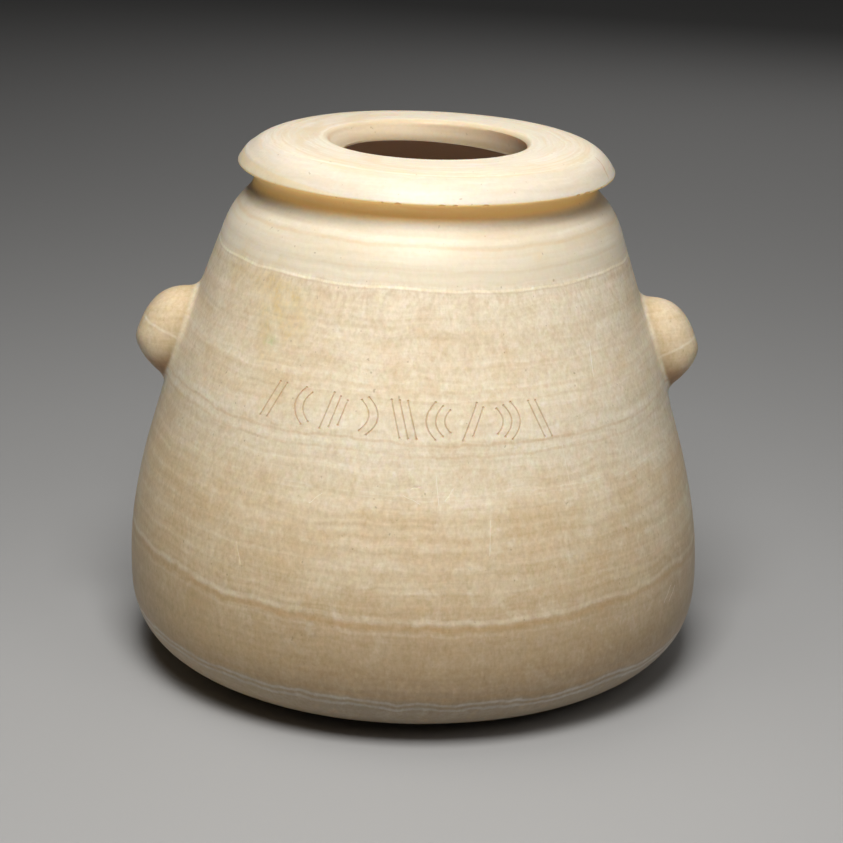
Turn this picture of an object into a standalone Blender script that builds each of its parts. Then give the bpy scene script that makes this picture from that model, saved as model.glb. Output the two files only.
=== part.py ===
"""Alabastron: a wide jar carved from one block of banded alabaster.

The jar is a turned form that swells low down, with a rounded foot, a short neck, a broad flat lip
and two solid lugs. It is hollow: a narrow throat opens below the lip into a wide cavity.
A row of shallow cut strokes runs across the front. The jar stands on the XY plane, with its lugs
on the X axis and its front towards -Y. Metres, +Z up.
"""

from collections import namedtuple
from math import cos, pi, radians, sin, sqrt

import bmesh
import bpy
from mathutils import Matrix, Vector

# Body
GIRTH_RADIUS = 0.120
GIRTH_HEIGHT = 0.0384
REST_RADIUS = 0.063
FOOT_FULLNESS = 2.75
BODY_BOW = 0.0011
BODY_LEAN = 0.00105

# Neck and lip
NECK_FOOT_HEIGHT = 0.1966
NECK_RADIUS = 0.0716
NECK_TAPER = 0.0014
NECK_LENGTH = 0.0072
LIP_OVERHANG = 0.0052
LIP_UNDERSIDE_RISE = 0.0045
LIP_RISE = 0.0105
LIP_FULLNESS = 5.9
LIP_EDGE_ROUND = 0.0009
LIP_EDGE_START = radians(-80.0)
LIP_EDGE_END = radians(40.0)
LIP_TILT = radians(0.8)
LIP_SHIFT = 0.0005

# Mouth, throat and cavity
MOUTH_RADIUS = 0.0419
MOUTH_ROUND = 0.0012
MOUTH_EDGE_START = radians(120.0)
MOUTH_EDGE_END = radians(180.0)
MOUTH_SHIFT = 0.0015
THROAT_DEPTH = 0.0090
THROAT_NARROWING = 0.0034
THROAT_EDGE = 0.0009
THROAT_TILT = radians(4.0)
THROAT_SHIFT = 0.0028
ROOF_DEPTH = 0.030
ROOF_FULLNESS = 1.5
WALL = 0.012
FLOOR = 0.016

# Lugs
LUG_HEIGHT = 0.1354
LUG_HALF_LENGTH = 0.0190
LUG_REACH = 0.0179
LUG_HALF_WIDTH = 0.0146
LUG_ROOT = 0.006
LUG_TOP_FULLNESS = 3.2
LUG_UNDERSIDE_FULLNESS = 1.6
LUG_WIDTH_FULLNESS = 2.2
LUG_FACE_FULLNESS = 2.7
LUG_END_WIDTH = 0.12
LUG_END_REACH = 0.03
LUG_TURN = radians(1.3)
LUG_TILT = radians(0.35)

# Row of shallow strokes cut across the front
ROW_HEIGHT = 0.1305
ROW_TILT = radians(1.9)
ROW_START = radians(-37.0)
ROW_END = radians(32.0)
MARK_HEIGHT = 0.0135
STROKE_GAP = 0.0032
STROKE_WIDTH = 0.0008
STROKE_DEPTH = 0.0005
STROKE_CLEARANCE = 0.0006

# How finely each form is cut into faces
TURNS = 64
FOOT_STEPS = 8
WALL_STEPS = 15
LIP_STEPS = 7
ROUND_STEPS = 3
ROOF_STEPS = 5
INNER_WALL_STEPS = 8
INNER_FOOT_STEPS = 5
LUG_STEPS = 12
LUG_FACE_STEPS = 12
STROKE_STEPS = 5
WALL_CROWDING = 0.16
LIP_CROWDING = 1.7
SHARP_ANGLE = radians(35.0)

# Finish
STONE_COLOUR = (0.76, 0.63, 0.44, 1.0)
STONE_ROUGHNESS = 0.42

# Shape of the wall above the girth: share of the climb to the neck, share of the drop in radius
WALL_STATIONS = (
    (0.0, 0.0),
    (0.125, 0.022),
    (0.28, 0.117),
    (0.435, 0.260),
    (0.59, 0.408),
    (0.745, 0.600),
    (0.86, 0.733),
    (0.94, 0.830),
    (0.985, 0.930),
    (1.0, 1.0),
)

# The marks of the row, none of them a letter: strokes side by side, their lean, their bulge, and
# how much shorter each stroke is than its neighbour on the left, or on the right where negative
MARKS = (
    (2, 0.45, 0.0, 0.0),
    (2, 0.0, -0.28, 0.22),
    (3, 0.30, 0.0, 0.16),
    (2, 0.0, 0.30, -0.18),
    (3, -0.28, 0.0, 0.0),
    (3, 0.0, -0.26, 0.20),
    (2, 0.42, 0.0, 0.24),
    (3, 0.0, 0.26, -0.16),
    (2, -0.42, 0.0, 0.0),
)

# Heights and sizes that follow from the ones above
LIP_RADIUS = NECK_RADIUS + LIP_OVERHANG
LIP_EDGE_HEIGHT = NECK_FOOT_HEIGHT + NECK_LENGTH + LIP_UNDERSIDE_RISE
MOUTH_HEIGHT = LIP_EDGE_HEIGHT + LIP_RISE
THROAT_RADIUS = MOUTH_RADIUS - THROAT_NARROWING
THROAT_HEIGHT = MOUTH_HEIGHT - THROAT_DEPTH

Ring = namedtuple("Ring", "radius height tilt shift")


def through_stations(stations, along):
    """Smooth curve through hand-placed stations, level at its start."""
    last = len(stations) - 1
    index = 0
    while index < last - 1 and stations[index + 1][0] < along:
        index += 1

    def slope(at):
        if at == 0:
            return 0.0
        before = stations[at - 1]
        after = stations[min(at + 1, last)]
        return (after[1] - before[1]) / (after[0] - before[0])

    (start, low), (end, high) = stations[index], stations[index + 1]
    span = end - start
    share = (along - start) / span
    eased = low + (high - low) * share * share * (3 - 2 * share)
    turning = (1 - share) * slope(index) - share * slope(index + 1)
    return eased + span * share * (1 - share) * turning


def full_arc(turn, fullness):
    """Across and up shares of a quarter arc that is fuller than round when fullness is over 2."""
    angle = turn * pi / 2
    return sin(angle) ** (2 / fullness), max(cos(angle), 0.0) ** (2 / fullness)


def climb_share(height):
    """Share of the way from the girth up to the neck."""
    return (height - GIRTH_HEIGHT) / (NECK_FOOT_HEIGHT - GIRTH_HEIGHT)


def wall_radius(height):
    """Outer radius of the body at a height between the girth and the neck."""
    drop = through_stations(WALL_STATIONS, climb_share(height))
    return GIRTH_RADIUS - (GIRTH_RADIUS - NECK_RADIUS) * drop


def axis_shift(height):
    """How far the middle of a ring stands to the right, because the jar bows and leans a little."""
    climb = min(max(climb_share(height), 0.0), 1.0)
    return BODY_LEAN * climb - BODY_BOW * sin(pi * climb)


def level_ring(radius, height):
    return Ring(radius, height, 0.0, axis_shift(height))


def foot_rings(outer, low, steps):
    """Rounded foot from the resting flat up to the girth, for the outside or the cavity."""
    rings = []
    for k in range(steps + 1):
        out, down = full_arc(k / steps, FOOT_FULLNESS)
        radius = REST_RADIUS + (outer - REST_RADIUS) * out
        rings.append(level_ring(radius, GIRTH_HEIGHT - (GIRTH_HEIGHT - low) * down))
    return rings


def wall_rings():
    """The wall above the girth, its rings drawing together towards the shoulder."""
    rings = []
    for k in range(1, WALL_STEPS + 1):
        even = k / WALL_STEPS
        climb = even + WALL_CROWDING * even * (1 - even)
        height = GIRTH_HEIGHT + (NECK_FOOT_HEIGHT - GIRTH_HEIGHT) * climb
        rings.append(level_ring(wall_radius(height), height))
    return rings


def round_edge(radius, height, size, start, end):
    """Points of a small rounded edge about a centre, as (radius, height)."""
    angles = [start + (end - start) * k / ROUND_STEPS for k in range(ROUND_STEPS + 1)]
    return [(radius + size * cos(angle), height + size * sin(angle)) for angle in angles]


def lip_rings():
    """The lip, from its thin rim over the nearly flat top to the rounded edge of the mouth."""
    rim_middle = LIP_RADIUS - LIP_EDGE_ROUND
    edge = (LIP_EDGE_START, LIP_EDGE_END)
    points = round_edge(rim_middle, LIP_EDGE_HEIGHT, LIP_EDGE_ROUND, *edge)
    rim, rim_height = points[-1]
    flat = MOUTH_RADIUS + MOUTH_ROUND
    for k in range(1, LIP_STEPS + 1):
        out = 1 - (k / LIP_STEPS) ** LIP_CROWDING
        height = MOUTH_HEIGHT - (MOUTH_HEIGHT - rim_height) * out**LIP_FULLNESS
        points.append((flat + (rim - flat) * out, height))
    edge = (MOUTH_EDGE_START, MOUTH_EDGE_END)
    points += round_edge(flat, MOUTH_HEIGHT - MOUTH_ROUND, MOUTH_ROUND, *edge)
    middle = axis_shift(NECK_FOOT_HEIGHT) + LIP_SHIFT
    rings = []
    for radius, height in points:
        inward = (LIP_RADIUS - radius) / (LIP_RADIUS - MOUTH_RADIUS)
        rings.append(Ring(radius, height, LIP_TILT, middle + MOUTH_SHIFT * inward))
    return rings


def cavity_rings():
    """The hollow: the skewed throat, a roof arching out under the lip, the wall and the floor."""
    askew = LIP_SHIFT + MOUTH_SHIFT + THROAT_SHIFT
    middle = axis_shift(NECK_FOOT_HEIGHT) + askew
    rings = [Ring(THROAT_RADIUS, THROAT_HEIGHT, THROAT_TILT, middle)]
    top = THROAT_HEIGHT - THROAT_EDGE
    spring = top - ROOF_DEPTH
    spread = wall_radius(spring) - WALL - THROAT_RADIUS
    for k in range(ROOF_STEPS + 1):
        left = 1 - k / ROOF_STEPS
        out, up = full_arc(k / ROOF_STEPS, ROOF_FULLNESS)
        height = spring + ROOF_DEPTH * up
        shift = axis_shift(height) + askew * left
        rings.append(Ring(THROAT_RADIUS + spread * out, height, THROAT_TILT * left, shift))
    for k in range(1, INNER_WALL_STEPS):
        height = spring + (GIRTH_HEIGHT - spring) * k / INNER_WALL_STEPS
        rings.append(level_ring(wall_radius(height) - WALL, height))
    return rings + foot_rings(GIRTH_RADIUS - WALL, FLOOR, INNER_FOOT_STEPS)[::-1]


def loft(sections):
    """Closed mesh through rings of corners, with a flat face over the first and the last."""
    mesh = bmesh.new()
    rings = [[mesh.verts.new(corner) for corner in section] for section in sections]
    mesh.faces.new(reversed(rings[0]))
    for below, above in zip(rings, rings[1:]):
        for k in range(len(below)):
            after = (k + 1) % len(below)
            mesh.faces.new((below[k], below[after], above[after], above[k]))
    mesh.faces.new(rings[-1])
    return mesh


def ring_corners(ring):
    """Corners of one ring of the turned form, tipped about the Y axis."""
    corners = []
    for k in range(TURNS):
        angle = 2 * pi * k / TURNS
        x, y = ring.radius * cos(angle), ring.radius * sin(angle)
        corners.append((ring.shift + x * cos(ring.tilt), y, ring.height - x * sin(ring.tilt)))
    return corners


def turned_jar():
    """The hollow jar as one shell, from the resting flat over the lip and down to its floor."""
    rings = foot_rings(GIRTH_RADIUS, 0.0, FOOT_STEPS) + wall_rings()
    rings.append(level_ring(NECK_RADIUS - NECK_TAPER, NECK_FOOT_HEIGHT + NECK_LENGTH))
    rings += lip_rings() + cavity_rings()
    return loft([ring_corners(ring) for ring in rings])


def lug_reach(share):
    """How far a lug stands out at a share of its half length: full above, drawn in below."""
    if share > 0:
        return LUG_REACH * (1 - share**LUG_TOP_FULLNESS) ** (1 / LUG_TOP_FULLNESS)
    return LUG_REACH * (1 - (-share) ** LUG_UNDERSIDE_FULLNESS)


def lug(side):
    """A solid ear of level sections, rooted inside the wall, on the side 1 (right) or -1."""
    turned = Matrix.Rotation(LUG_TURN, 3, "Z")
    sections = []
    for k in range(LUG_STEPS + 1):
        share = -cos(pi * k / LUG_STEPS)
        height = LUG_HEIGHT + LUG_HALF_LENGTH * share
        rounding = (1 - abs(share) ** LUG_WIDTH_FULLNESS) ** (1 / LUG_WIDTH_FULLNESS)
        width = LUG_HALF_WIDTH * max(rounding, LUG_END_WIDTH)
        reach = max(lug_reach(share), LUG_REACH * LUG_END_REACH)
        radius = wall_radius(height)
        outline = [(radius - LUG_ROOT, width), (radius - LUG_ROOT, -width)]
        for j in range(LUG_FACE_STEPS + 1):
            turn = 2 * j / LUG_FACE_STEPS - 1
            across, out = full_arc(abs(turn), LUG_FACE_FULLNESS)
            y = width * across * (1 if turn > 0 else -1)
            outline.append((sqrt(radius**2 - y**2) + reach * out, y))
        section = []
        for x, y in outline:
            level = height - side * x * sin(LUG_TILT)
            place = turned @ Vector((side * x, side * y, level))
            section.append(place + Vector((axis_shift(height), 0.0, 0.0)))
        sections.append(section)
    return loft(sections)


def wall_place(angle, height):
    """Place and outward direction on the wall, at an angle from the front."""
    step = STROKE_DEPTH
    fall = (wall_radius(height + step) - wall_radius(height - step)) / (2 * step)
    outward = Vector((sin(angle), -cos(angle), -fall)).normalized()
    radius = wall_radius(height)
    place = Vector((axis_shift(height) + radius * sin(angle), -radius * cos(angle), height))
    return place, outward


def row_place(along, up):
    """Wall place at a distance along the row and above its middle line."""
    angle = (ROW_START + ROW_END) / 2 + along / wall_radius(ROW_HEIGHT)
    return wall_place(angle, ROW_HEIGHT + up - along * sin(ROW_TILT))


def stroke_line(middle, lean, bulge, length):
    """Points of one stroke as (along, up), straight or bowed to one side."""
    line = []
    for k in range(STROKE_STEPS + 1):
        share = k / STROKE_STEPS
        sideways = lean * (share - 0.5) + bulge * (4 * share * (1 - share) - 0.5)
        line.append((middle + sideways * length, (share - 0.5) * length))
    return line


def row_lines():
    """Centre lines of all the strokes of the row."""
    row_length = (ROW_END - ROW_START) * wall_radius(ROW_HEIGHT)
    lines = []
    for number, (count, lean, bulge, shorter) in enumerate(MARKS):
        middle = row_length * ((number + 0.5) / len(MARKS) - 0.5)
        for k in range(count):
            steps_down = k if shorter > 0 else count - 1 - k
            length = MARK_HEIGHT * (1 - abs(shorter) * steps_down)
            lines.append(stroke_line(middle + (k - (count - 1) / 2) * STROKE_GAP, lean, bulge, length))
    return lines


def stroke_bar(line):
    """V-shaped bar that lies in the wall along one stroke and stands a little clear of it."""
    places = [row_place(*point) for point in line]
    half_width = STROKE_WIDTH / 2 * (1 + STROKE_CLEARANCE / STROKE_DEPTH)
    sections = []
    for k, (place, outward) in enumerate(places):
        ahead = places[min(k + 1, len(places) - 1)][0] - places[max(k - 1, 0)][0]
        across = outward.cross(ahead).normalized() * half_width
        top = place + outward * STROKE_CLEARANCE
        sections.append((place - outward * STROKE_DEPTH, top - across, top + across))
    return loft(sections)


def alabaster():
    """Warm banded calcite with a soft polish."""
    material = bpy.data.materials.new("alabaster")
    material.use_nodes = True
    shader = material.node_tree.nodes["Principled BSDF"]
    shader.inputs["Base Color"].default_value = STONE_COLOUR
    shader.inputs["Roughness"].default_value = STONE_ROUGHNESS
    shader.inputs["Metallic"].default_value = 0.0
    return material


def new_object(name, meshes):
    """Object from one or more closed bmeshes, each turned to face outwards."""
    joined = bmesh.new()
    for mesh in meshes:
        bmesh.ops.recalc_face_normals(mesh, faces=mesh.faces)
        piece = bpy.data.meshes.new(name)
        mesh.to_mesh(piece)
        mesh.free()
        joined.from_mesh(piece)
        bpy.data.meshes.remove(piece)
    data = bpy.data.meshes.new(name)
    joined.to_mesh(data)
    joined.free()
    thing = bpy.data.objects.new(name, data)
    bpy.context.scene.collection.objects.link(thing)
    return thing


def shape_with(target, tool, operation):
    """Boolean of one object with another, which stays in the file as a hidden guide."""
    tool.hide_render = True
    tool.display_type = "WIRE"
    change = target.modifiers.new(tool.name, "BOOLEAN")
    change.operation = operation
    change.solver = "EXACT"
    change.object = tool


def main():
    for thing in list(bpy.data.objects):
        bpy.data.objects.remove(thing)
    jar = new_object("vessel", [turned_jar()])
    shape_with(jar, new_object("lugs", [lug(1), lug(-1)]), "UNION")
    shape_with(jar, new_object("strokes", [stroke_bar(line) for line in row_lines()]), "DIFFERENCE")
    jar.data.materials.append(alabaster())
    jar.data.shade_smooth()
    jar.data.set_sharp_from_angle(angle=SHARP_ANGLE)


main()
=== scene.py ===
"""Alabastron: the look of a wide jar carved from one block of banded alabaster.

One piece, carved_jar, stands for the CAD node vessel. It keeps that solid's form and adds what a hand
feels: the smooth turned surface with its small unevenness, the soft joints of the two lugs, the cut
strokes, the ground facet and the chips of the lip, and the beds of the stone. Metres, +Z up, lugs on
the X axis, front towards -Y.
"""

from math import cos, pi, radians, sin, sqrt

import bmesh
import bpy
import numpy as np
from mathutils import Matrix, Vector
from mathutils.bvhtree import BVHTree


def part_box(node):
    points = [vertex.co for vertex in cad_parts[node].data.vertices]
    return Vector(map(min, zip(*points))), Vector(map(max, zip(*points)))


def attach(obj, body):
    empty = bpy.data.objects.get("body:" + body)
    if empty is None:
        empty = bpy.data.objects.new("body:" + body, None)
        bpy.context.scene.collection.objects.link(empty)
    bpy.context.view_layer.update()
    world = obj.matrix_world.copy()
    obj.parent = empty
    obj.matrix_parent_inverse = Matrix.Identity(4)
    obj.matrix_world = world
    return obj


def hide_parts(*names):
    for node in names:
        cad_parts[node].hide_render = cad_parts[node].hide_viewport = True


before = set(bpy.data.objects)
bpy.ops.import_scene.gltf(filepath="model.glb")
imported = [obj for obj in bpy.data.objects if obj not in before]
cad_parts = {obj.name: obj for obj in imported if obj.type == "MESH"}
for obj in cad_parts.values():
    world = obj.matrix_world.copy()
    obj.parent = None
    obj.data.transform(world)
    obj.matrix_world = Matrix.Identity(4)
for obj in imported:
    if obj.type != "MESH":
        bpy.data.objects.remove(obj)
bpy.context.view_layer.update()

# Body
GIRTH_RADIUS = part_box("vessel")[1].y
GIRTH_HEIGHT = 0.0384
REST_RADIUS = 0.063
FOOT_FULLNESS = 2.75
BODY_BOW = 0.0011
BODY_LEAN = 0.00105

# Neck and lip
NECK_FOOT_HEIGHT = 0.1966
NECK_RADIUS = 0.0716
NECK_TAPER = 0.0014
NECK_LENGTH = 0.0072
SHOULDER_SOFTNESS = 0.0012
LIP_OVERHANG = 0.0052
LIP_UNDERSIDE_RISE = 0.0045
LIP_RISE = 0.0105
LIP_FULLNESS = 5.9
LIP_EDGE_ROUND = 0.0009
LIP_EDGE_START = radians(-80.0)
LIP_EDGE_END = radians(40.0)
LIP_TILT = radians(0.8)
LIP_SHIFT = 0.0005

# Mouth, throat and cavity
MOUTH_RADIUS = 0.0419
MOUTH_ROUND = 0.0030
MOUTH_ROLL = 0.0020
MOUTH_EDGE_START = radians(105.0)
MOUTH_EDGE_END = radians(155.0)
MOUTH_SHIFT = 0.0004
THROAT_DEPTH = 0.0085
THROAT_NARROWING = 0.0028
THROAT_EDGE = 0.0009
THROAT_TILT = radians(4.0)
THROAT_SHIFT = 0.0040
ROOF_DEPTH = 0.030
ROOF_FULLNESS = 1.5
WALL = 0.012
FLOOR = 0.016

# Lugs
LUG_HEIGHT = 0.1354
LUG_HALF_LENGTH = 0.0190
LUG_REACH = 0.0179
LUG_HALF_WIDTH = 0.0146
LUG_ROOT = 0.006
LUG_TOP_FULLNESS = 3.2
LUG_UNDERSIDE_FULLNESS = 1.6
LUG_WIDTH_FULLNESS = 2.2
LUG_FACE_FULLNESS = 2.7
LUG_TURN = radians(1.3)
LUG_TILT = radians(0.35)
LUG_FILLET = 0.0038

# The part of the wall that is drawn out over each lug, and the depth of the point it is drawn out from
FIELD_HALF_WIDTH = 0.0260
FIELD_HALF_LENGTH = 0.0300
FIELD_SQUARENESS = 4.0
FIELD_EYE_DEPTH = 0.009

# Row of strokes cut across the front
ROW_HEIGHT = 0.1305
ROW_TILT = radians(1.9)
ROW_START = radians(-37.0)
ROW_END = radians(32.0)
MARK_HEIGHT = 0.0135
STROKE_GAP = 0.0032
STROKE_WIDTH = 0.0007
STROKE_END = 0.00052
SCRATCH_WIDTH = 0.0004
SCRATCH_RISE = 0.00006

# Ground facet on the left of the rim, angles from the front
FACET_MIDDLE = radians(-82.0)
FACET_HALF_TURN = radians(62.0)
FACET_WIDTH = 0.0027
FACET_DIP = 0.0011
FACET_FALL = 0.0060

# Hairline crack on the right of the lip, its inner end and how fast it turns on its way out to the rim
CRACK_ANGLE = radians(78.0)
CRACK_RADIUS = 0.0685
CRACK_TURN = radians(-650.0)

# How finely each form is cut
TURNS = 300
CROWDING = 0.6
FOOT_STEPS = 26
WALL_STEP = 0.0030
LUG_STEP = 0.0009
LIP_STEPS = 40
ROUND_STEPS = 5
THROAT_STEPS = 8
ROOF_STEPS = 12
INNER_WALL_STEPS = 18
INNER_FOOT_STEPS = 12
DISC_STEPS = 6
LUG_SECTIONS = 72
LUG_FACE_STEPS = 64
LUG_LINES = 72
LUG_LINE_STEPS = 64
STROKE_STEPS = 8

# Surface left by the hand
UNEVENNESS = 0.00035
UNEVENNESS_SIZE = 30.0
UNEVENNESS_SEED = 4.0
CHIP_SEED = 7
SHARP_ANGLE = radians(40.0)

# Camera at the photograph's viewing angle
CAMERA_PLACE = Vector((0.00105, -0.97999, 0.41007))
CAMERA_PITCH = 0.3083632
CAMERA_YAW = 0.001
CAMERA_ROLL = 0.025026
CAMERA_LENS = 104.26
SENSOR = 36.0

# Shape of the wall above the girth: share of the climb to the neck, share of the drop in radius
WALL_STATIONS = (
    (0.0, 0.0),
    (0.125, 0.022),
    (0.28, 0.117),
    (0.435, 0.260),
    (0.59, 0.408),
    (0.745, 0.600),
    (0.86, 0.733),
    (0.94, 0.830),
    (0.985, 0.930),
    (1.0, 1.0),
)

# Marks of the row, none of them a letter: strokes side by side, their lean, their bulge, and how much
# shorter each stroke is than its neighbour on the left, or on the right where negative
MARKS = (
    (2, 0.45, 0.0, 0.0),
    (2, 0.0, -0.28, 0.22),
    (3, 0.30, 0.0, 0.16),
    (2, 0.0, 0.30, -0.18),
    (3, -0.28, 0.0, 0.0),
    (3, 0.0, -0.26, 0.20),
    (2, 0.42, 0.0, 0.24),
    (3, 0.0, 0.26, -0.16),
    (2, -0.42, 0.0, 0.0),
)

# Chips on the lower edge of the lip: degrees from the front, length along the edge, size across, in mm
CHIPS = (
    (-12.5, 1.4, 0.7),
    (-8.0, 3.2, 0.8),
    (4.6, 3.2, 0.8),
    (8.4, 2.4, 0.8),
    (17.4, 3.2, 0.8),
    (50.5, 2.8, 1.1),
    (55.0, 5.8, 1.3),
    (64.5, 2.6, 1.1),
)

# Small pits: degrees from the front, height and radius in mm
WALL_PITS = (
    (-46.0, 60.0, 0.35),
    (-30.0, 41.0, 0.35),
    (-8.0, 33.0, 0.30),
    (7.0, 52.5, 0.30),
    (14.0, 75.0, 0.25),
    (11.0, 75.5, 0.25),
    (22.0, 191.0, 0.30),
    (-62.0, 88.0, 0.30),
    (-2.0, 16.5, 0.35),
    (36.0, 29.0, 0.35),
)

# Old scratches on the wall: each end's degrees from the front and height in mm
SCRATCHES = (
    ((-2.0, 103.0), (1.5, 100.0)),
    ((-0.5, 105.5), (1.6, 106.2)),
    ((4.6, 110.5), (5.2, 99.5)),
    ((6.4, 101.0), (8.2, 105.6)),
    ((15.4, 93.5), (15.0, 80.0)),
    ((33.0, 118.0), (33.8, 103.0)),
    ((46.0, 152.0), (45.0, 140.0)),
    ((58.0, 44.0), (61.0, 49.5)),
    ((60.2, 43.2), (63.0, 48.0)),
    ((-21.0, 97.0), (-18.5, 101.5)),
    ((-36.0, 77.0), (-34.5, 69.0)),
)

# Heights and sizes that follow from the ones above
LIP_RADIUS = NECK_RADIUS + LIP_OVERHANG
LIP_EDGE_HEIGHT = NECK_FOOT_HEIGHT + NECK_LENGTH + LIP_UNDERSIDE_RISE
MOUTH_HEIGHT = LIP_EDGE_HEIGHT + LIP_RISE
THROAT_RADIUS = MOUTH_RADIUS - THROAT_NARROWING
THROAT_HEIGHT = MOUTH_HEIGHT - THROAT_DEPTH
TOP_RADIUS = MOUTH_RADIUS + MOUTH_ROUND - MOUTH_ROLL
MM = 0.001


class Wire:
    """A socket of a node tree. Arithmetic on it adds Math nodes."""

    def __init__(self, graph, socket):
        self.graph = graph
        self.socket = socket

    def output(self, name):
        return Wire(self.graph, self.socket.node.outputs[name])

    def maths(self, operation, *values):
        return self.graph.add("ShaderNodeMath", {"operation": operation}, dict(enumerate(values)))

    def __add__(self, other):
        return self.maths("ADD", self, other)

    def __radd__(self, other):
        return self.maths("ADD", other, self)

    def __sub__(self, other):
        return self.maths("SUBTRACT", self, other)

    def __rsub__(self, other):
        return self.maths("SUBTRACT", other, self)

    def __mul__(self, other):
        return self.maths("MULTIPLY", self, other)

    def __rmul__(self, other):
        return self.maths("MULTIPLY", other, self)

    def __truediv__(self, other):
        return self.maths("DIVIDE", self, other)

    def __pow__(self, other):
        return self.maths("POWER", self, other)

    def __abs__(self):
        return self.maths("ABSOLUTE", self)


class Graph:
    """A node tree that nodes are added to, each by its type, its settings and what its sockets get."""

    def __init__(self, tree):
        self.tree = tree

    def add(self, kind, settings=None, sockets=None, output=0):
        node = self.tree.nodes.new(kind)
        for name, value in (settings or {}).items():
            if name == "stops":
                self.set_stops(node.color_ramp, value)
            elif name == "easing":
                node.color_ramp.interpolation = value
            else:
                setattr(node, name, value)
        for name, value in (sockets or {}).items():
            if isinstance(value, Wire):
                self.tree.links.new(value.socket, node.inputs[name])
            else:
                node.inputs[name].default_value = value
        return Wire(self, node.outputs[output]) if node.outputs else node

    def set_stops(self, ramp, stops):
        """Stops of a colour ramp, each a place, a colour and, where it isn't 1, an alpha."""
        while len(ramp.elements) < len(stops):
            ramp.elements.new(1.0)
        for element, (place, colour, *alpha) in zip(ramp.elements, stops):
            element.position = place
            element.color = (*colour, *(alpha or [1.0]))

    def vector(self, x, y, z):
        return self.add("ShaderNodeCombineXYZ", {}, {0: x, 1: y, 2: z})

    def stretched(self, place, scales):
        return self.add("ShaderNodeVectorMath", {"operation": "MULTIPLY"}, {0: place, 1: scales})

    def noise(self, place, scales, detail=2.0, roughness=0.5):
        """Noise from 0 to 1 whose grains are one over the scales long, in metres."""
        sockets = {"Vector": self.stretched(place, scales), "Scale": 1.0, "Detail": detail}
        return self.add("ShaderNodeTexNoise", {}, {**sockets, "Roughness": roughness})

    def ramp(self, value, low, high):
        """0 below low, 1 above high and smooth between; the other way round when low is over high."""
        sockets = {"Value": value, "From Min": low, "From Max": high}
        return self.add("ShaderNodeMapRange", {"interpolation_type": "SMOOTHSTEP"}, sockets)

    def blend(self, factor, one, other, how="MIX"):
        """Colour mixed from two others, each a wire or plain red, green and blue."""
        one, other = ((*colour, 1.0) if isinstance(colour, tuple) else colour for colour in (one, other))
        settings = {"data_type": "RGBA", "blend_type": how}
        return self.add("ShaderNodeMix", settings, {0: factor, 6: one, 7: other}, output=2)


def geometry_tree(name, inputs):
    """Empty Geometry Nodes tree with named inputs, each a socket type and its usual value."""
    tree = bpy.data.node_groups.new(name, "GeometryNodeTree")
    tree.interface.new_socket(name="Geometry", in_out="INPUT", socket_type="NodeSocketGeometry")
    tree.interface.new_socket(name="Geometry", in_out="OUTPUT", socket_type="NodeSocketGeometry")
    for label, (kind, value) in inputs.items():
        socket = tree.interface.new_socket(name=label, in_out="INPUT", socket_type=kind)
        if value is not None:
            socket.default_value = value
    graph = Graph(tree)
    return graph, graph.add("NodeGroupInput")


def close_tree(graph, geometry, stone):
    """Ends a tree in real geometry with its material."""
    real = graph.add("GeometryNodeRealizeInstances", {}, {"Geometry": geometry})
    dressed = graph.add("GeometryNodeSetMaterial", {}, {"Geometry": real, "Material": stone})
    graph.add("NodeGroupOutput", {}, {"Geometry": dressed})


def grow(thing, graph, values):
    """Runs a tree on an object and returns what it makes as a plain mesh."""
    modifier = thing.modifiers.new(graph.tree.name, "NODES")
    modifier.node_group = graph.tree
    for item in graph.tree.interface.items_tree:
        if item.in_out == "INPUT" and item.name in values:
            modifier[item.identifier] = values[item.name]
    depsgraph = bpy.context.evaluated_depsgraph_get()
    made = bpy.data.meshes.new_from_object(thing.evaluated_get(depsgraph))
    thing.modifiers.remove(modifier)
    return made


def new_object(name, data):
    thing = bpy.data.objects.new(name, data)
    bpy.context.scene.collection.objects.link(thing)
    return thing


def through_stations(stations, along):
    """Smooth curve through listed stations, level at its start."""
    last = len(stations) - 1
    index = 0
    while index < last - 1 and stations[index + 1][0] < along:
        index += 1

    def slope(at):
        if at == 0:
            return 0.0
        before = stations[at - 1]
        after = stations[min(at + 1, last)]
        return (after[1] - before[1]) / (after[0] - before[0])

    (start, low), (end, high) = stations[index], stations[index + 1]
    span = end - start
    share = (along - start) / span
    eased = low + (high - low) * share * share * (3 - 2 * share)
    turning = (1 - share) * slope(index) - share * slope(index + 1)
    return eased + span * share * (1 - share) * turning


def full_arc(turn, fullness):
    """Across and up shares of a quarter arc that is fuller than round when fullness is over 2."""
    angle = turn * pi / 2
    return sin(angle) ** (2 / fullness), max(cos(angle), 0.0) ** (2 / fullness)


def climb_share(height):
    """Share of the way from the girth up to the neck."""
    return (height - GIRTH_HEIGHT) / (NECK_FOOT_HEIGHT - GIRTH_HEIGHT)


def wall_radius(height):
    """Outer radius of the body at a height between the girth and the neck."""
    drop = through_stations(WALL_STATIONS, climb_share(height))
    return GIRTH_RADIUS - (GIRTH_RADIUS - NECK_RADIUS) * drop


def axis_shift(height):
    """How far the middle of a ring stands to the right, because the jar bows and leans a little."""
    climb = min(max(climb_share(height), 0.0), 1.0)
    return BODY_LEAN * climb - BODY_BOW * sin(pi * climb)


def level_ring(radius, height):
    return (radius, height, 0.0, axis_shift(height))


def foot_rings(outer, low, steps):
    """Rounded foot from the resting flat up to the girth, for the outside or the cavity."""
    rings = []
    for k in range(steps + 1):
        out, down = full_arc(k / steps, FOOT_FULLNESS)
        radius = REST_RADIUS + (outer - REST_RADIUS) * out
        rings.append(level_ring(radius, GIRTH_HEIGHT - (GIRTH_HEIGHT - low) * down))
    return rings


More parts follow.
